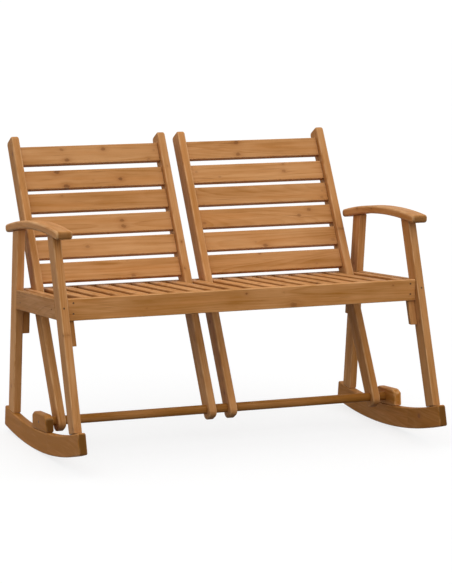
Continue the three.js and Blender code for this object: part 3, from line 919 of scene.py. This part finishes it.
def screw_mesh(radius, length):
    """A countersunk screw along +Z with a crossed recess in its head, which faces -Z."""
    mesh = bmesh.new()
    reach = radius * RECESS_SHARE
    quarter = [(reach, RECESS_HALF), (RECESS_HALF, RECESS_HALF), (RECESS_HALF, reach)]
    rim = []
    for _ in range(4):
        rim += quarter
        quarter = [(-y, x) for x, y in quarter]
    top = [mesh.verts.new((x, y, 0.0)) for x, y in rim]
    floor = [mesh.verts.new((x * RECESS_TAPER, y * RECESS_TAPER, RECESS_DEPTH)) for x, y in rim]
    shank = radius * SHANK_SHARE
    profile = (
        (radius * HEAD_FLAT_SHARE, 0.0),
        (radius, HEAD_RIM),
        (radius, HEAD_EDGE),
        (shank, radius * HEAD_DEPTH_SHARE),
        (shank, length - TIP_LENGTH),
        (0.0, length),
    )
    head = add_rings(mesh, profile, SCREW_SIDES)[0]
    for step in range(len(rim)):
        after = (step + 1) % len(rim)
        mesh.faces.new((top[step], top[after], floor[after], floor[step]))
    mesh.faces.new(floor)
    edges = []
    for loop in (head, top):
        edges += [mesh.edges.get(ends) for ends in zip(loop, loop[1:] + loop[:1])]
    bmesh.ops.triangle_fill(mesh, edges=edges, use_beauty=True)
    bmesh.ops.recalc_face_normals(mesh, faces=mesh.faces)
    return mesh


def make_screw(name, middle, inwards, radius, length, sunk):
    """A screw with its head sunk below a place, and its recess turned at random."""
    mesh = screw_mesh(radius, length)
    turn = Matrix.Rotation(random.Random(name).uniform(0.0, math.pi), 4, "Z")
    pose_mesh(mesh, Vector(middle) + Vector(inwards) * sunk, inwards, turn)
    piece = new_object(name, mesh)
    piece.data.materials.append(STEEL)
    smooth_piece(piece)
    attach(piece, "frame")
    return piece


def make_screws():
    """The screws that hold the rod, which are CAD nodes, and the others, which aren't."""
    counts = {}
    for node, middle, inwards in screw_places():
        counts[node] = counts.get(node, 0) + 1
        name = f"screw_{node}_{counts[node]}"
        make_screw(name, middle, inwards, SCREW_RADIUS, SCREW_LENGTH, SCREW_SUNK)
    for side, name in SIDES:
        node = "rod_screw_" + name
        low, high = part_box(node)
        middle = (outer_face(node, side), (low.y + high.y) / 2, (low.z + high.z) / 2)
        radius, length = (high.z - low.z) / 2, high.x - low.x
        piece = make_screw("screw_rod_" + name, middle, -side * X_AXIS, radius, length, ROD_SCREW_SUNK)
        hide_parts(node)


# Floor, light and camera


def make_floor():
    """A plain floor that keeps the bench's soft shadow and shows as white."""
    mesh = bmesh.new()
    bmesh.ops.create_grid(mesh, x_segments=FLOOR_SQUARES, y_segments=FLOOR_SQUARES, size=FLOOR_HALF)
    floor = new_object("floor", mesh)
    material, tree = new_material("floor")
    dim = add_node(tree, "ShaderNodeBsdfDiffuse", {"Color": grey(FLOOR_BOUNCE)})
    pale = add_node(tree, "ShaderNodeBsdfDiffuse", {"Color": grey(FLOOR_PALE)})
    white = add_node(tree, "ShaderNodeEmission", {"Color": WHITE, "Strength": 1.0})
    backdrop = add_node(tree, "ShaderNodeMixShader", {"Fac": 1.0 - SHADOW_SHARE})
    both = add_node(tree, "ShaderNodeMixShader", {"Fac": seen(tree, 0.0, 1.0)})
    for made, first, second in ((backdrop, pale, white), (both, dim, backdrop)):
        tree.links.new(first.outputs[0], made.inputs[1])
        tree.links.new(second.outputs[0], made.inputs[2])
    end_tree(tree, both)
    floor.data.materials.append(material)


def seen(tree, others, direct):
    """One value for rays that light the bench, and another for rays that show the backdrop."""
    path = tree.nodes.new("ShaderNodeLightPath")
    shown = maths(tree, "ADD", path.outputs["Is Camera Ray"], path.outputs["Is Glossy Ray"], clamp=True)
    shown = maths(tree, "ADD", shown, path.outputs["Is Transmission Ray"], clamp=True)
    return remap(tree, shown, 0.0, 1.0, others, direct)


def make_world(strength):
    """Even light from all sides, which shows as white to the camera."""
    world = bpy.data.worlds.new("studio")
    world.use_nodes = True
    tree = world.node_tree
    tree.nodes.clear()
    inputs = {"Color": WHITE, "Strength": seen(tree, strength, 1.0)}
    end_tree(tree, add_node(tree, "ShaderNodeBackground", inputs), "ShaderNodeOutputWorld")
    bpy.context.scene.world = world


def make_lamp(name, direction, strength):
    """Soft light from all directions within half of LAMP_SPREAD of this one."""
    data = bpy.data.lights.new(name, "SUN")
    data.energy = strength * math.pi
    data.angle = math.radians(LAMP_SPREAD)
    lamp = bpy.data.objects.new(name, data)
    lamp.rotation_mode = "QUATERNION"
    lamp.rotation_quaternion = Vector(direction).to_track_quat("Z", "Y")
    bpy.context.scene.collection.objects.link(lamp)


def make_camera():
    """The camera of the photograph's view."""
    data = bpy.data.cameras.new("camera")
    data.sensor_width, data.lens = CAMERA_SENSOR, CAMERA_LENS
    data.clip_start, data.clip_end = CAMERA_NEAR, CAMERA_FAR
    camera = bpy.data.objects.new("camera", data)
    yaw = Matrix.Rotation(math.radians(-CAMERA_YAW), 4, "Z")
    pitch = Matrix.Rotation(math.radians(90.0 - CAMERA_PITCH), 4, "X")
    roll = Matrix.Rotation(math.radians(CAMERA_ROLL), 4, "Z")
    camera.matrix_world = Matrix.Translation(CAMERA_PLACE) @ yaw @ pitch @ roll
    bpy.context.scene.collection.objects.link(camera)
    bpy.context.scene.camera = camera


make_camera()
make_boards()
make_rod()
make_screws()
make_floor()
make_world(WORLD_LIGHT)
make_lamp("key", KEY_FROM, KEY_LIGHT)
make_lamp("top", TOP_FROM, TOP_LIGHT)
bpy.context.scene.view_settings.view_transform = "Standard"
